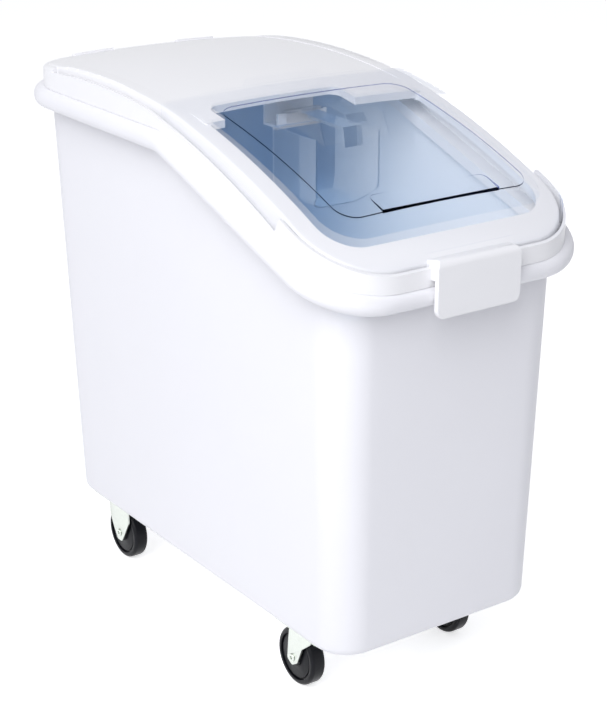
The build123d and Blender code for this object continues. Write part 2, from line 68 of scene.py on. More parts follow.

# The raised panel and the push ledge of the clear lid, whose steep steps get painted shade
PANEL_HALF_WIDTH = 135 * MM
PANEL_FRONT = -303 * MM
PANEL_REAR = -44 * MM
STEEP_NORMAL = 0.3

# Moulded white plastics, whose flow marks change their tone and gloss
POLYETHYLENE_IOR = 1.51
TUB_ROUGHNESS = 0.4
INNER_ROUGHNESS = 0.34
LID_ROUGHNESS = 0.3
NYLON_ROUGHNESS = 0.45
NYLON_CREAM = "DAD8D0"
FLOW_SIZE = 180 * MM
FLOW_TONE = 0.965
FLOW_GLOSS = (-0.04, 0.06)
PEEL_STRENGTH = 0.05
PEEL_HEIGHT = 0.4 * MM

# Clear polycarbonate, and the share of the light that goes straight into each of its pieces
POLYCARBONATE_IOR = 1.585
LID_STRAIGHT = 0.75
SCOOP_STRAIGHT = 0.25
STEP_STRAIGHT = 0.85
MIRROR_TINT = (0.15, 0.15, 0.15, 1.0)
HAZE_SIZE = 30 * MM
HAZE_ROUGHNESS = (0.01, 0.04)
RIM_POWER = 8.0

# Plated steel
FORK_ROUGHNESS = 0.3
BRIGHT_ROUGHNESS = 0.22
FORK_CLOUD = 3 * MM
BRIGHT_CLOUD = 2 * MM
CLOUD_TONE = 0.82
CLOUD_GLOSS = (-0.06, 0.08)
CLOUD_STRENGTH = 0.08
CLOUD_HEIGHT = 0.2 * MM

# Hard rubber
RUBBER_IOR = 1.52
RUBBER_SPECULAR = 0.16
RUBBER_ROUGHNESS = (0.26, 0.42)
GRIT_SIZE = 2.2 * MM
GRIT_STRENGTH = 0.1
GRIT_HEIGHT = 0.2 * MM
SCUFF_SIZE = 14 * MM
SCUFF_TONE = 1.8

# Cleaning and shading of the meshes
MERGE_DISTANCE = 0.004 * MM
SLIVER_LENGTH = 0.002 * MM
FLAT_DEG = 0.3
SHARP_DEG = 32.0
ROUND_SEGMENTS = 2

# Fasteners and balls
BOLT_STEPS = 24
HEAD_RIM = 0.25
DOME_TURNS = (0, 0.4, 0.8, 1.2, math.pi / 2)
THREADED_SHARE = 0.6
THREAD_DEPTH = 0.55
TIP_SHARE = 0.75
NUT_STEPS = 72
NUT_SHARP_DEG = 25.0
NUT_FACE = 0.97
NUT_PLAY = 0.06 * MM
NUT_CHAMFER_DEG = 30
BALL_SEGMENTS = 18
BALL_RINGS = 12

# Studio
KEY_PLACE = (-2.0, -1.3, 2.4)
KEY_AIM = (0, 0, 0.45)
KEY_SIZE = 2.6
REAR_PLACE = (2.5, 1.9, 0.5)
REAR_AIM = (0, 0, 0.35)
REAR_SIZE = 1.0
LAMP_COLOUR = (0.985, 0.985, 1.0)
FILL_COLOUR = "F4F6FF"
FLOOR_COLOUR = "F2F2F2"
FLOOR_GLOW = 0.62
FLOOR_HALF = 30.0
CAMERA_REACH = 100.0


# Colours and nodes

def linear(code):
    """Linear red, green, blue of an sRGB hex code."""
    channels = [int(code[i : i + 2], 16) / 255 for i in (0, 2, 4)]
    return tuple(c / 12.92 if c <= 0.04045 else ((c + 0.055) / 1.055) ** 2.4 for c in channels)


def opaque(colour):
    """A colour with full alpha, as the shader sockets take it."""
    return (*colour[:3], 1.0)


def scaled(colour, factor):
    """A colour made darker or lighter by a factor."""
    return tuple(channel * factor for channel in colour)


def add_node(tree, kind, inputs=None, links=None, **settings):
    """Adds a node to a tree, sets its properties and input values, and links its inputs."""
    node = tree.nodes.new(kind)
    for key, value in settings.items():
        setattr(node, key, value)
    for key, value in (inputs or {}).items():
        node.inputs[key].default_value = value
    for key, socket in (links or {}).items():
        tree.links.new(socket, node.inputs[key])
    return node


def new_material(name):
    """An empty node material and its tree."""
    material = bpy.data.materials.new(name)
    material.use_nodes = True
    material.node_tree.nodes.clear()
    return material, material.node_tree


def surface(tree, shader):
    """Links a shader to a new output of the material, which it returns."""
    return add_node(tree, "ShaderNodeOutputMaterial", links={"Surface": shader})


# Properties

class BinFinish(bpy.types.PropertyGroup):
    """Colours and grain of the bin's materials"""

    tub_white: bpy.props.FloatVectorProperty(
        name="Tub white", description="Colour of the moulded tub",
        subtype="COLOR", size=3, default=linear("EFEFF3"),
    )
    lid_white: bpy.props.FloatVectorProperty(
        name="Lid white", description="Colour of the lid frame and bracket",
        subtype="COLOR", size=3, default=linear("F3F3F5"),
    )
    clear_tint: bpy.props.FloatVectorProperty(
        name="Clear tint", description="Colour that the clear sheets pass",
        subtype="COLOR", size=3, default=linear("FFFFFF"),
    )
    # Depth tint of the clear sheets, also used as painted shade where the clear lid is seen edge
    # on
    depth_tint_and_rim_shade: bpy.props.FloatVectorProperty(
        name="Edge tint", description="Colour of the clear sheets along their depth",
        subtype="COLOR", size=3, default=linear("AEBBD4"),
    )
    edge_depth: bpy.props.FloatProperty(
        name="Edge depth", description="How fast the clear sheets take up light along their depth",
        default=10.0,
    )
    # Painted shade: a dark violet tint on the steep steps of the clear lid, standing in for the
    # shade seen in them
    step_painted_shade: bpy.props.FloatVectorProperty(
        name="Step tint", description="Colour of the steep steps moulded into the clear lid",
        subtype="COLOR", size=3, default=linear("A0A4CC"),
    )
    inner_white: bpy.props.FloatVectorProperty(
        name="Inner white", description="Colour of the tub's inside in front",
        subtype="COLOR", size=3, default=linear("F3F7FC"),
    )
    # Painted shade: the bluish grey that the tub's inside takes towards the rear, for the shade
    # under the cover
    inner_painted_shade: bpy.props.FloatVectorProperty(
        name="Inner shade", description="Colour of the tub's inside in the shade of the cover",
        subtype="COLOR", size=3, default=linear("A8BDD6"),
    )
    wall_tint: bpy.props.FloatVectorProperty(
        name="Wall tint", description="Colour of the daylight through one skin of the tub's wall",
        subtype="COLOR", size=3, default=linear("DEECF5"),
    )
    zinc: bpy.props.FloatVectorProperty(
        name="Zinc", description="Colour of the plated forks and plates",
        subtype="COLOR", size=3, default=linear("D9DED7"),
    )
    wheel_black: bpy.props.FloatVectorProperty(
        name="Wheel black", description="Colour of the wheels",
        subtype="COLOR", size=3, default=linear("0B0C11"),
    )
    peel_size: bpy.props.FloatProperty(
        name="Moulding grain", description="Size of the waves in the moulded skin",
        subtype="DISTANCE", unit="LENGTH", default=1.6 * MM,
    )


class BinCasters(bpy.types.PropertyGroup):
    """Sizes of the casters' fasteners, balls and edges"""

    ball_count: bpy.props.IntProperty(
        name="Balls", description="Balls in each swivel race", default=18,
    )
    head_radius: bpy.props.FloatProperty(
        name="Bolt head", description="Radius of the domed heads inside the tub",
        subtype="DISTANCE", unit="LENGTH", default=7 * MM,
    )
    shank_radius: bpy.props.FloatProperty(
        name="Bolt shank", description="Outer radius of the bolts' thread",
        subtype="DISTANCE", unit="LENGTH", default=3 * MM,
    )
    thread_pitch: bpy.props.FloatProperty(
        name="Thread pitch", description="Distance from one turn of the thread to the next",
        subtype="DISTANCE", unit="LENGTH", default=1 * MM,
    )
    nut_flats: bpy.props.FloatProperty(
        name="Nut flats", description="Width of the nuts across their flats",
        subtype="DISTANCE", unit="LENGTH", default=10 * MM,
    )
    edge_round: bpy.props.FloatProperty(
        name="Edge round", description="Rounding of the pressed and moulded edges",
        subtype="DISTANCE", unit="LENGTH", default=0.45 * MM,
    )


class BinStage(bpy.types.PropertyGroup):
    """Camera and light of the studio"""

    camera_place: bpy.props.FloatVectorProperty(
        name="Camera place", description="Where the camera stands",
        subtype="TRANSLATION", unit="LENGTH", size=3, default=(-1.2453, -1.8014, 1.1665),
    )
    camera_turn: bpy.props.FloatVectorProperty(
        name="Camera turn", description="How the camera is turned",
        subtype="EULER", unit="ROTATION", size=3,
        default=(math.radians(69.36), 0.0, math.radians(-35.15)),
    )
    camera_lens: bpy.props.FloatProperty(
        name="Camera lens", description="Focal length in millimetres", default=90.46,
    )
    key_watts: bpy.props.FloatProperty(
        name="Key light", description="Power of the large left lamp", unit="POWER", default=85.5,
    )
    rear_watts: bpy.props.FloatProperty(
        name="Rear light", description="Power of the low lamp behind on the right",
        unit="POWER", default=20.0,
    )
    fill_strength: bpy.props.FloatProperty(
        name="Fill", description="Strength of the light all round", default=0.42,
    )


def finish():
    """The finish properties of the scene."""
    return bpy.context.scene.bin_finish


# Materials

def moulded_white(name, colour, roughness, wall=None, shade=None):
    """Injection-moulded plastic: a satin white skin with slight orange peel and faint flow marks.

    A thin wall lets some daylight of the wall's colour into the tub through each of its two
    skins. With a shade, the inner skin takes that colour as painted shade towards the rear, under
    the cover.
    """
    material, tree = new_material(name)
    place = add_node(tree, "ShaderNodeTexCoord").outputs["Object"]
    peel = add_node(
        tree, "ShaderNodeTexNoise",
        {"Scale": 1 / finish().peel_size, "Detail": 2.0, "Roughness": 0.5}, {"Vector": place},
    )
    flow = add_node(
        tree, "ShaderNodeTexNoise",
        {"Scale": 1 / FLOW_SIZE, "Detail": 3.0, "Roughness": 0.6}, {"Vector": place},
    ).outputs["Fac"]
    tone = add_node(
        tree, "ShaderNodeMix",
        {"A": opaque(scaled(colour, FLOW_TONE)), "B": opaque(colour)}, {"Factor": flow},
        data_type="RGBA",
    )
    # Painted shade: towards the rear the inner skin's colour fades to the shade colour, for the
    # shade under the cover
    if shade:
        along = add_node(tree, "ShaderNodeSeparateXYZ", None, {"Vector": place})
        fade = add_node(
            tree, "ShaderNodeMapRange", {"From Min": PAINTED_SHADE_FRONT, "From Max": PAINTED_SHADE_REAR},
            {"Value": along.outputs["Y"]},
        )
        tone = add_node(
            tree, "ShaderNodeMix", {"B": opaque(shade)},
            {"Factor": fade.outputs["Result"], "A": tone.outputs["Result"]},
            data_type="RGBA",
        )
    gloss = add_node(
        tree, "ShaderNodeMapRange",
        {"To Min": roughness + FLOW_GLOSS[0], "To Max": roughness + FLOW_GLOSS[1]},
        {"Value": flow},
    )
    bump = add_node(
        tree, "ShaderNodeBump", {"Strength": PEEL_STRENGTH, "Distance": PEEL_HEIGHT},
        {"Height": peel.outputs["Fac"]},
    )
    shader = add_node(
        tree, "ShaderNodeBsdfPrincipled", {"IOR": POLYETHYLENE_IOR},
        {
            "Base Color": tone.outputs["Result"],
            "Roughness": gloss.outputs["Result"],
            "Normal": bump.outputs["Normal"],
        },
    ).outputs["BSDF"]
    if wall:
        through = add_node(tree, "ShaderNodeBsdfTransparent", {"Color": opaque(wall)})
        share = add_node(tree, "ShaderNodeLightPath").outputs["Is Shadow Ray"]
        if not shade:
            behind = add_node(tree, "ShaderNodeNewGeometry").outputs["Backfacing"]
            share = add_node(
                tree, "ShaderNodeMath", None, {0: share, 1: behind}, operation="MULTIPLY",
            ).outputs[0]
        shader = add_node(
            tree, "ShaderNodeMixShader", None, {0: share, 1: shader, 2: through.outputs["BSDF"]},
        ).outputs["Shader"]
    surface(tree, shader)
    return material


def clear_polycarbonate(name, colour, straight, rim_painted_shade=None):
    """Injection-moulded polycarbonate: glossy on its face and clear to look through.

    The straight share of the light enters as into a thin sheet, and the rest bends in its
    thickness. All of it leaves straight, so that none is caught inside. With a rim colour, the
    sheet takes that colour as painted shade where it is seen edge on.
    """
    material, tree = new_material(name)
    place = add_node(tree, "ShaderNodeTexCoord").outputs["Object"]
    haze = add_node(
        tree, "ShaderNodeTexNoise", {"Scale": 1 / HAZE_SIZE, "Detail": 3.0}, {"Vector": place},
    )
    soft = add_node(
        tree, "ShaderNodeMapRange", {"To Min": HAZE_ROUGHNESS[0], "To Max": HAZE_ROUGHNESS[1]},
        {"Value": haze.outputs["Fac"]},
    )
    sheet = add_node(
        tree, "ShaderNodeBsdfPrincipled",
        {
            "Base Color": opaque(colour),
            "IOR": POLYCARBONATE_IOR,
            "Transmission Weight": 1.0,
            "Specular Tint": MIRROR_TINT,
        },
        {"Roughness": soft.outputs["Result"]},
    )
    pass_through = add_node(tree, "ShaderNodeBsdfTransparent", {"Color": opaque(colour)})
    # Painted shade: where the sheet is seen edge on, its colour turns to the rim colour, for the
    # dark edges of clear plastic
    if rim_painted_shade:
        facing = add_node(tree, "ShaderNodeLayerWeight", {"Blend": 0.5}).outputs["Facing"]
        rim = add_node(tree, "ShaderNodeMath", {1: RIM_POWER}, {0: facing}, operation="POWER")
        tint = add_node(
            tree, "ShaderNodeMix", {"A": opaque(colour), "B": opaque(rim_painted_shade)},
            {"Factor": rim.outputs[0]}, data_type="RGBA",
        ).outputs["Result"]
        tree.links.new(tint, sheet.inputs["Base Color"])
        tree.links.new(tint, pass_through.inputs["Color"])
    ray = add_node(tree, "ShaderNodeLightPath")
    light_only = add_node(
        tree, "ShaderNodeMath", None,
        {0: ray.outputs["Is Shadow Ray"], 1: ray.outputs["Is Diffuse Ray"]}, operation="MAXIMUM",
    )
    leaving = add_node(tree, "ShaderNodeNewGeometry").outputs["Backfacing"]
    direct = add_node(
        tree, "ShaderNodeMath", None, {0: light_only.outputs[0], 1: leaving}, operation="MAXIMUM",
    )
    share = add_node(
        tree, "ShaderNodeMath", {1: straight}, {0: direct.outputs[0]}, operation="MAXIMUM",
    )
    mixed = add_node(
        tree, "ShaderNodeMixShader", None,
        {0: share.outputs[0], 1: sheet.outputs["BSDF"], 2: pass_through.outputs["BSDF"]},
    )
    depth = add_node(
        tree, "ShaderNodeVolumeAbsorption",
        {"Color": opaque(finish().depth_tint_and_rim_shade), "Density": finish().edge_depth},
    )
    out = surface(tree, mixed.outputs["Shader"])
    tree.links.new(depth.outputs["Volume"], out.inputs["Volume"])
    return material


def plated_steel(name, colour, roughness, cloud_size):
    """Zinc-plated pressed steel: a pale, slightly green metal with a fine cloudy plating."""
    material, tree = new_material(name)
    place = add_node(tree, "ShaderNodeTexCoord").outputs["Object"]
    cloud = add_node(
        tree, "ShaderNodeTexNoise", {"Scale": 1 / cloud_size, "Detail": 4.0}, {"Vector": place},
    ).outputs["Fac"]
    tone = add_node(
        tree, "ShaderNodeMix",
        {"A": opaque(scaled(colour, CLOUD_TONE)), "B": opaque(colour)}, {"Factor": cloud},
        data_type="RGBA",
    )
    gloss = add_node(
        tree, "ShaderNodeMapRange",
        {"To Min": roughness + CLOUD_GLOSS[0], "To Max": roughness + CLOUD_GLOSS[1]},
        {"Value": cloud},
    )
    bump = add_node(
        tree, "ShaderNodeBump", {"Strength": CLOUD_STRENGTH, "Distance": CLOUD_HEIGHT},
        {"Height": cloud},
    )
    metal = add_node(
        tree, "ShaderNodeBsdfPrincipled", {"Metallic": 1.0},
        {
            "Base Color": tone.outputs["Result"],
            "Roughness": gloss.outputs["Result"],
            "Normal": bump.outputs["Normal"],
        },
    )
    surface(tree, metal.outputs["BSDF"])
    return material


def hard_rubber(name, black):
    """Moulded hard rubber: near-black with a soft gloss and a trace of dust in the texture."""
    material, tree = new_material(name)
    place = add_node(tree, "ShaderNodeTexCoord").outputs["Object"]
    grit = add_node(
        tree, "ShaderNodeTexNoise", {"Scale": 1 / GRIT_SIZE, "Detail": 3.0}, {"Vector": place},
    )
    scuff = add_node(
        tree, "ShaderNodeTexNoise", {"Scale": 1 / SCUFF_SIZE, "Detail": 4.0}, {"Vector": place},
    ).outputs["Fac"]
    tone = add_node(
        tree, "ShaderNodeMix",
        {"A": opaque(black), "B": opaque(scaled(black, SCUFF_TONE))}, {"Factor": scuff},
        data_type="RGBA",
    )
    gloss = add_node(
        tree, "ShaderNodeMapRange",
        {"To Min": RUBBER_ROUGHNESS[0], "To Max": RUBBER_ROUGHNESS[1]}, {"Value": scuff},
    )
    bump = add_node(
        tree, "ShaderNodeBump", {"Strength": GRIT_STRENGTH, "Distance": GRIT_HEIGHT},
        {"Height": grit.outputs["Fac"]},
    )
    rubber = add_node(
        tree, "ShaderNodeBsdfPrincipled",
        {"IOR": RUBBER_IOR, "Specular IOR Level": RUBBER_SPECULAR},
        {
            "Base Color": tone.outputs["Result"],
            "Roughness": gloss.outputs["Result"],
            "Normal": bump.outputs["Normal"],
        },
    )
    surface(tree, rubber.outputs["BSDF"])
    return material


MATERIALS = {}


def make_materials():
    """Makes each finish once."""
    look = finish()
    MATERIALS["white_plastic"] = moulded_white(
        "moulded white polyethylene", look.tub_white, TUB_ROUGHNESS, look.wall_tint,
    )
    # The tub's inside, with painted shade towards the rear
    MATERIALS["inner_plastic"] = moulded_white(
        "moulded white polyethylene inside with painted shade", look.inner_white, INNER_ROUGHNESS, look.wall_tint,
        look.inner_painted_shade,
    )
    MATERIALS["lid_plastic"] = moulded_white(
        "moulded white lid plastic", look.lid_white, LID_ROUGHNESS,
    )
    # The clear lid, with painted shade where it is seen edge on
    MATERIALS["clear_plastic"] = clear_polycarbonate(
        "clear polycarbonate", look.clear_tint, LID_STRAIGHT, look.depth_tint_and_rim_shade,
    )
    MATERIALS["clear_scoop"] = clear_polycarbonate(
        "clear polycarbonate scoop", look.clear_tint, SCOOP_STRAIGHT,
    )
    # The clear lid's steep steps, with painted shade
    MATERIALS["clear_edge"] = clear_polycarbonate(
        "clear polycarbonate steps with painted shade", look.step_painted_shade, STEP_STRAIGHT,
    )
    MATERIALS["zinc_steel"] = plated_steel(
        "zinc-plated pressed steel", look.zinc, FORK_ROUGHNESS, FORK_CLOUD,
    )
    MATERIALS["bright_steel"] = plated_steel(
        "bright steel", look.zinc, BRIGHT_ROUGHNESS, BRIGHT_CLOUD,
    )
    MATERIALS["black_rubber"] = hard_rubber("black hard rubber", look.wheel_black)
    MATERIALS["nylon"] = moulded_white("moulded nylon", linear(NYLON_CREAM), NYLON_ROUGHNESS)


# Pieces

def link(name, data):
    """A new object of a mesh, lamp or camera, at the origin of the scene."""
    piece = bpy.data.objects.new(name, data)
    bpy.context.scene.collection.objects.link(piece)
    return piece


def baked(piece):
    """Turns an object with modifiers into its plain mesh, and removes them."""
    graph = bpy.context.evaluated_depsgraph_get()
    mesh = bpy.data.meshes.new_from_object(piece.evaluated_get(graph))
    piece.modifiers.clear()
    piece.data = mesh
    return piece


def smooth(mesh, sharp_deg):
    """Shades a mesh smoothly up to its sharp edges."""
    sharp = math.radians(sharp_deg)
    shape = bmesh.new()
    shape.from_mesh(mesh)
    for face in shape.faces:
        face.smooth = True
    for edge in shape.edges:
        edge.smooth = not (edge.is_manifold and edge.calc_face_angle(0.0) > sharp)
    shape.to_mesh(mesh)
    shape.free()


def seat(piece, body, slot, *nodes):
    """Lets a finished piece ride on a body and stand for CAD nodes; its slot is not used."""
    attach(piece, body)
    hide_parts(*nodes)
    return piece


def dressed(node, material, body, slot, edge_round=0.0):
    """A merged, smooth copy of a CAD node that stands for it, with its sharp edges rounded if an
    edge round is given.
    """
    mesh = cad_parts[node].data.copy()
    mesh.materials.clear()
    mesh.materials.append(MATERIALS[material])
    if "custom_normal" in mesh.attributes:
        mesh.attributes.remove(mesh.attributes["custom_normal"])
    shape = bmesh.new()
    shape.from_mesh(mesh)
    bmesh.ops.remove_doubles(shape, verts=shape.verts, dist=MERGE_DISTANCE)
    bmesh.ops.dissolve_degenerate(shape, edges=shape.edges, dist=SLIVER_LENGTH)
    for face in shape.faces:
        face.material_index = 0
    if edge_round:
        flat = math.radians(FLAT_DEG)
        bmesh.ops.dissolve_limit(shape, angle_limit=flat, verts=shape.verts, edges=shape.edges)
    shape.to_mesh(mesh)
    shape.free()
    piece = link(node + "_skin", mesh)
    if edge_round:
        bevel = piece.modifiers.new("edge round", "BEVEL")
        bevel.width = edge_round
        bevel.segments = ROUND_SEGMENTS
        bevel.limit_method = "ANGLE"
        bevel.angle_limit = math.radians(SHARP_DEG)
        piece = baked(piece)
    smooth(piece.data, SHARP_DEG)
    return seat(piece, body, slot, node)


# Fasteners and balls

def on_circle(radius, turn, height):
    """The point at a turn about Z, that far out and that high."""
    return (radius * math.cos(turn), radius * math.sin(turn), height)


def finished_mesh(name, shape, sharp_deg):
    """A smoothly shaded mesh of a shape whose faces are turned outwards."""
    bmesh.ops.recalc_face_normals(shape, faces=shape.faces)
    mesh = bpy.data.meshes.new(name)
    shape.to_mesh(mesh)
    shape.free()
    smooth(mesh, sharp_deg)
    return mesh


def lathe(name, profile, steps):
    """Mesh of a (radius, height) profile turned about Z; a radius of 0 closes it on the axis."""
    shape = bmesh.new()
    rings = []
    for radius, height in profile:
        count = steps if radius > 0 else 1
        turns = [2 * math.pi * index / steps for index in range(count)]
        rings.append([shape.verts.new(on_circle(radius, turn, height)) for turn in turns])
    for low, high in zip(rings, rings[1:]):
        for index in range(steps):
            corners = [low[index % len(low)], low[(index + 1) % len(low)]]
            corners += [high[(index + 1) % len(high)], high[index % len(high)]]
            shape.faces.new(list(dict.fromkeys(corners)))
    return finished_mesh(name, shape, SHARP_DEG)


def bolt_mesh(head_height, length):
    """Domed bolt whose lower end has its thread as ridges; its head stands on the plane z = 0."""
    sizes = bpy.context.scene.bin_casters
    head, shank, pitch = sizes.head_radius, sizes.shank_radius, sizes.thread_pitch
    dome = [
        (head * math.sin(turn), head_height * (HEAD_RIM + (1 - HEAD_RIM) * math.cos(turn)))
        for turn in DOME_TURNS
    ]
    profile = [(0.0, dome[0][1]), *dome[1:], (head, 0.0), (shank, 0.0)]
    turns = int(length * THREADED_SHARE / pitch)
    for index in range(turns):
        top = -length + (turns - index) * pitch
        profile += [(shank, top), (shank - THREAD_DEPTH * pitch, top - pitch / 2)]
    profile += [(shank * TIP_SHARE, -length), (0.0, -length)]
    return lathe("bolt", profile, BOLT_STEPS)


def nut_mesh(height):
    """Hexagon nut with the curved chamfer of its corners, standing on the plane z = 0."""
    sizes = bpy.context.scene.bin_casters
    inner = sizes.nut_flats / 2 * NUT_FACE
    bore = sizes.shank_radius + NUT_PLAY
    chamfer = math.tan(math.radians(NUT_CHAMFER_DEG))
    shape = bmesh.new()
    rings = [[] for _ in range(6)]
    for index in range(NUT_STEPS):
        turn = 2 * math.pi * index / NUT_STEPS
        across = (turn % (math.pi / 3)) - math.pi / 6
        hexagon = sizes.nut_flats / 2 / math.cos(across)
        fall = (hexagon - inner) * chamfer
        below = [(bore, 0), (inner, 0), (hexagon, fall)]
        above = [(hexagon, height - fall), (inner, height), (bore, height)]
        for ring, (radius, level) in zip(rings, below + above):
            ring.append(shape.verts.new(on_circle(radius, turn, level)))
    for low, high in zip(rings, rings[1:] + rings[:1]):
        for index in range(NUT_STEPS):
            after = (index + 1) % NUT_STEPS
            shape.faces.new((low[index], low[after], high[after], high[index]))
    return finished_mesh("nut", shape, NUT_SHARP_DEG)


def node_group(name, inputs):
    """An empty geometry node group with named inputs, and the node that gives their values."""
    group = bpy.data.node_groups.new(name, "GeometryNodeTree")
    for label, value in inputs.items():
        kind = "NodeSocketInt" if isinstance(value, int) else "NodeSocketFloat"
        socket = group.interface.new_socket(label, in_out="INPUT", socket_type=kind)
        socket.default_value = value
    group.interface.new_socket(
        "Geometry", in_out="OUTPUT", socket_type="NodeSocketGeometry",
    )
    return group, add_node(group, "NodeGroupInput")


def repeated(name, group, points, instance, values, place):
    """Sets an instance on every point of a group, and makes it all a plain mesh at its place."""
    copies = add_node(
        group, "GeometryNodeInstanceOnPoints", None, {"Points": points, "Instance": instance},
    )
    real = add_node(
        group, "GeometryNodeRealizeInstances", None, {"Geometry": copies.outputs["Instances"]},
    )
    painted = add_node(
        group, "GeometryNodeSetMaterial", {"Material": MATERIALS["bright_steel"]},
        {"Geometry": real.outputs["Geometry"]},
    )
    add_node(group, "NodeGroupOutput", None, {"Geometry": painted.outputs["Geometry"]})
    piece = link(name, bpy.data.meshes.new(name))
    modifier = piece.modifiers.new("pattern", "NODES")
    modifier.node_group = group
    for item in group.interface.items_tree:
        if item.in_out == "INPUT":
            modifier[item.identifier] = values[item.name]
    piece = baked(piece)
    piece.data.transform(Matrix.Translation(place))
    return piece


def ball_race(node):
    """Ring of balls in the place of a CAD ball node."""
    low, high = (Vector(corner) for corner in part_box(node))
    ball = (high.z - low.z) / 2
    values = {
        "Count": bpy.context.scene.bin_casters.ball_count,
        "Race radius": (high.x - low.x) / 2 - ball,
        "Ball radius": ball,
    }
    group, given = node_group("ball race", values)
    ring = add_node(
        group, "GeometryNodeMeshCircle", None,
        {"Vertices": given.outputs["Count"], "Radius": given.outputs["Race radius"]},
    )
    sphere = add_node(
        group, "GeometryNodeMeshUVSphere", {"Segments": BALL_SEGMENTS, "Rings": BALL_RINGS},
        {"Radius": given.outputs["Ball radius"]},
    )
    shaded = add_node(
        group, "GeometryNodeSetShadeSmooth", None, {"Geometry": sphere.outputs["Mesh"]},
    )
    return repeated(
        node + "_ring", group, ring.outputs["Mesh"], shaded.outputs["Geometry"], values,
        (low + high) / 2,
    )


def four_fasteners(node, mesh, reach, foot):
    """Four fasteners at the corners of a CAD node, which reach that far from their middles."""
    low, high = (Vector(corner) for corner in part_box(node))
    values = {
        "Spacing X": high.x - low.x - 2 * reach[0],
        "Spacing Y": high.y - low.y - 2 * reach[1],
    }
    group, given = node_group("plate pattern", values)
    corners = add_node(
        group, "GeometryNodeMeshGrid", {"Vertices X": 2, "Vertices Y": 2},
        {"Size X": given.outputs["Spacing X"], "Size Y": given.outputs["Spacing Y"]},
    )
    sample = link(node + "_sample", mesh)
    info = add_node(group, "GeometryNodeObjectInfo", {"Object": sample, "As Instance": True})
    place = ((low.x + high.x) / 2, (low.y + high.y) / 2, foot)
    piece = repeated(
        node + "_set", group, corners.outputs["Mesh"], info.outputs["Geometry"], values, place,
    )
    bpy.data.objects.remove(sample)
    return piece


# Choice of faces

def faces_inside(center, normal):
    """Whether a face of the tub looks into it: its floor, and the walls that face the middle."""
    within = abs(center.x) < INNER_HALF_WIDTH and abs(center.y) < INNER_HALF_LENGTH
    floor = normal.z > LEVEL_NORMAL and center.z < INNER_FLOOR
    inwards = normal.x * center.x + normal.y * center.y < 0
    wall = abs(normal.z) < LEVEL_NORMAL and inwards
    return within and (floor or wall)


def on_step(center, normal):
    """Whether a face of the clear lid is a steep side of its raised panel or push ledge."""
    within = abs(center.x) < PANEL_HALF_WIDTH and PANEL_FRONT < center.y < PANEL_REAR
    return within and abs(normal.z) < STEEP_NORMAL


def paint_faces(piece, material, chosen):
    """Gives a second material to the faces of a piece that are chosen by middle and normal."""
    piece.data.materials.append(MATERIALS[material])
    for face in piece.data.polygons:
        face.material_index = int(chosen(face.center, face.normal))


# Operators

class BIN_OT_tub(bpy.types.Operator):
    """Dresses the tub"""

    bl_idname = "bin.tub"
    bl_label = "Tub"

    def execute(self, context):
        tub = dressed("tub", "white_plastic", "bin", "white_plastic")
        # The inner faces take the material with painted shade towards the rear
        paint_faces(tub, "inner_plastic", faces_inside)
        return {"FINISHED"}


class BIN_OT_lid(bpy.types.Operator):
    """Dresses the lid frame, the clear lid, the scoop and its bracket"""

    bl_idname = "bin.lid"
    bl_label = "Lid"

    def execute(self, context):
        dressed("lid_frame", "lid_plastic", "lid", "white_plastic")
        dressed("scoop_hook", "lid_plastic", "lid", "white_plastic")
        clear = dressed("clear_lid", "clear_plastic", "sliding_lid", "clear_plastic")
        # The steep steps of the panel and ledge take the clear material with painted shade
        paint_faces(clear, "clear_edge", on_step)
        dressed("scoop", "clear_scoop", "hung_scoop", "clear_plastic")
        return {"FINISHED"}


class BIN_OT_casters(bpy.types.Operator):
    """Dresses the casters and their fasteners"""

    bl_idname = "bin.casters"
    bl_label = "Casters"

    def execute(self, context):
        sizes = context.scene.bin_casters
        edge_round = sizes.edge_round
        nut_reach = (sizes.nut_flats / 2 / math.cos(math.pi / 6), sizes.nut_flats / 2)
        bolt_reach = (sizes.head_radius, sizes.head_radius)
        for name in CASTERS:
            swivels = name in SWIVEL_CASTERS
            carrier = name + "_swivel" if swivels else "bin"
            if swivels:
                for part in ("plate", "kingpin"):
                    dressed(f"{name}_{part}", "zinc_steel", "bin", "zinc_steel", edge_round)
                balls = name + "_balls"
                seat(ball_race(balls), "bin", "bright_steel", balls)
            dressed(f"{name}_fork", "zinc_steel", carrier, "zinc_steel", edge_round)
            dressed(f"{name}_bushing", "nylon", carrier, "nylon", edge_round)
            for part in ("axle_bolt", "axle_nut"):
                dressed(f"{name}_{part}", "bright_steel", carrier, "bright_steel", edge_round)
            bolts, nuts = name + "_plate_bolts", name + "_plate_nuts"
            low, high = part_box(bolts)
            bolt = bolt_mesh(high[2] - TUB_FLOOR, TUB_FLOOR - low[2])
            bolt_set = four_fasteners(bolts, bolt, bolt_reach, TUB_FLOOR)
            seat(bolt_set, "bin", "bright_steel", bolts)
            low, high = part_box(nuts)
            nut_set = four_fasteners(nuts, nut_mesh(high[2] - low[2]), nut_reach, low[2])
            seat(nut_set, "bin", "bright_steel", nuts)
            wheel = name + "_wheel"
            dressed(wheel, "black_rubber", wheel, "black_rubber", edge_round)
        return {"FINISHED"}


def area_lamp(name, place, aim, size, watts):
    """A square soft lamp pointing at a place."""
    lamp = bpy.data.lights.new(name, "AREA")
    lamp.size = size
    lamp.energy = watts
    lamp.color = LAMP_COLOUR
    holder = link(name, lamp)
    holder.location = place
    holder.rotation_euler = (Vector(aim) - Vector(place)).to_track_quat("-Z", "Y").to_euler()


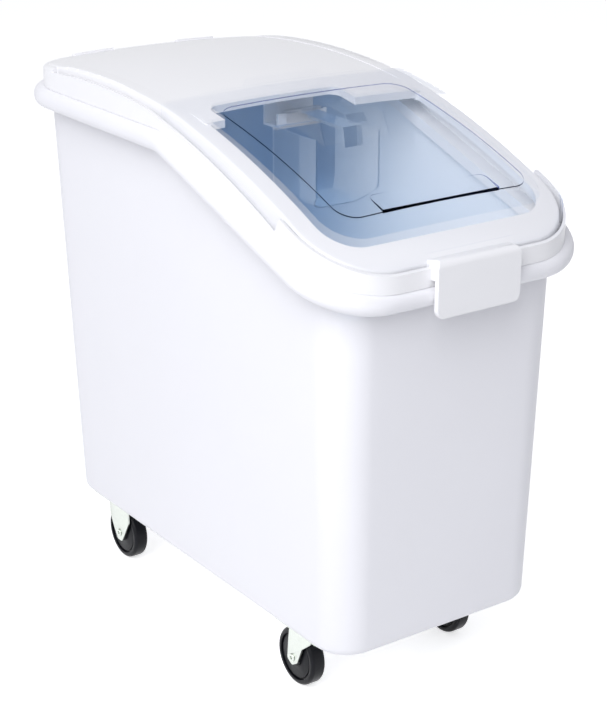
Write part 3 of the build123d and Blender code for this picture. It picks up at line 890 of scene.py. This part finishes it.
def seen_directly(tree):
    """A factor that is 1 for camera, mirror and glass rays, and 0 for the light itself."""
    ray = add_node(tree, "ShaderNodeLightPath")
    pair = add_node(
        tree, "ShaderNodeMath", None,
        {0: ray.outputs["Is Camera Ray"], 1: ray.outputs["Is Glossy Ray"]}, operation="MAXIMUM",
    )
    return add_node(
        tree, "ShaderNodeMath", None,
        {0: pair.outputs[0], 1: ray.outputs["Is Transmission Ray"]}, operation="MAXIMUM",
    ).outputs[0]


def studio_world(fill_strength):
    """White surroundings to look at, which give only the fill as light."""
    world = bpy.data.worlds.new("studio")
    world.use_nodes = True
    tree = world.node_tree
    tree.nodes.clear()
    fill = add_node(
        tree, "ShaderNodeBackground",
        {"Color": opaque(linear(FILL_COLOUR)), "Strength": fill_strength},
    )
    white = add_node(tree, "ShaderNodeBackground", {"Color": WHITE, "Strength": 1.0})
    mixed = add_node(
        tree, "ShaderNodeMixShader", None,
        {0: seen_directly(tree), 1: fill.outputs[0], 2: white.outputs[0]},
    )
    add_node(tree, "ShaderNodeOutputWorld", links={"Surface": mixed.outputs[0]})
    return world


def studio_floor():
    """A large pale floor that keeps the shadows and glows to near white where it is seen."""
    material, tree = new_material("pale studio floor")
    paper = add_node(tree, "ShaderNodeBsdfDiffuse", {"Color": opaque(linear(FLOOR_COLOUR))})
    glow = add_node(tree, "ShaderNodeEmission", {"Color": WHITE, "Strength": FLOOR_GLOW})
    both = add_node(
        tree, "ShaderNodeAddShader", None, {0: paper.outputs[0], 1: glow.outputs[0]},
    )
    mixed = add_node(
        tree, "ShaderNodeMixShader", None,
        {0: seen_directly(tree), 1: paper.outputs[0], 2: both.outputs[0]},
    )
    surface(tree, mixed.outputs[0])
    mesh = bpy.data.meshes.new("floor")
    turns = ((-1, -1), (1, -1), (1, 1), (-1, 1))
    corners = [(x * FLOOR_HALF, y * FLOOR_HALF, 0) for x, y in turns]
    mesh.from_pydata(corners, [], [(0, 1, 2, 3)])
    mesh.materials.append(material)
    return link("floor", mesh)


class BIN_OT_stage(bpy.types.Operator):
    """Sets the floor, the light and the camera"""

    bl_idname = "bin.stage"
    bl_label = "Stage"

    def execute(self, context):
        scene = context.scene
        stage = scene.bin_stage
        scene.view_settings.view_transform = "Standard"
        scene.world = studio_world(stage.fill_strength)
        area_lamp("softbox", KEY_PLACE, KEY_AIM, KEY_SIZE, stage.key_watts)
        area_lamp("rear softbox", REAR_PLACE, REAR_AIM, REAR_SIZE, stage.rear_watts)
        floor = studio_floor()
        camera = bpy.data.cameras.new("photograph")
        camera.lens = stage.camera_lens
        camera.clip_end = CAMERA_REACH
        holder = link("photograph", camera)
        holder.location = stage.camera_place
        holder.rotation_euler = Euler(stage.camera_turn)
        scene.camera = holder
        return {"FINISHED"}


class BIN_PT_panel(bpy.types.Panel):
    """Lists the bin's pieces and settings"""

    bl_idname = "BIN_PT_panel"
    bl_label = "Ingredient bin"
    bl_space_type = "VIEW_3D"
    bl_region_type = "UI"
    bl_category = "Bin"

    def draw(self, context):
        scene = context.scene
        for operator in OPERATORS:
            self.layout.operator(operator.bl_idname)
        for group in (scene.bin_finish, scene.bin_casters, scene.bin_stage):
            for key in group.__annotations__:
                self.layout.prop(group, key)


OPERATORS = (BIN_OT_tub, BIN_OT_lid, BIN_OT_casters, BIN_OT_stage)
CLASSES = (BinFinish, BinCasters, BinStage, *OPERATORS, BIN_PT_panel)


def register():
    for item in CLASSES:
        bpy.utils.register_class(item)
    bpy.types.Scene.bin_finish = bpy.props.PointerProperty(type=BinFinish)
    bpy.types.Scene.bin_casters = bpy.props.PointerProperty(type=BinCasters)
    bpy.types.Scene.bin_stage = bpy.props.PointerProperty(type=BinStage)


def unregister():
    del bpy.types.Scene.bin_stage
    del bpy.types.Scene.bin_casters
    del bpy.types.Scene.bin_finish
    for item in reversed(CLASSES):
        bpy.utils.unregister_class(item)


def main():
    register()
    make_materials()
    bpy.ops.bin.tub()
    bpy.ops.bin.lid()
    bpy.ops.bin.casters()
    bpy.ops.bin.stage()


if __name__ == "__main__":
    main()
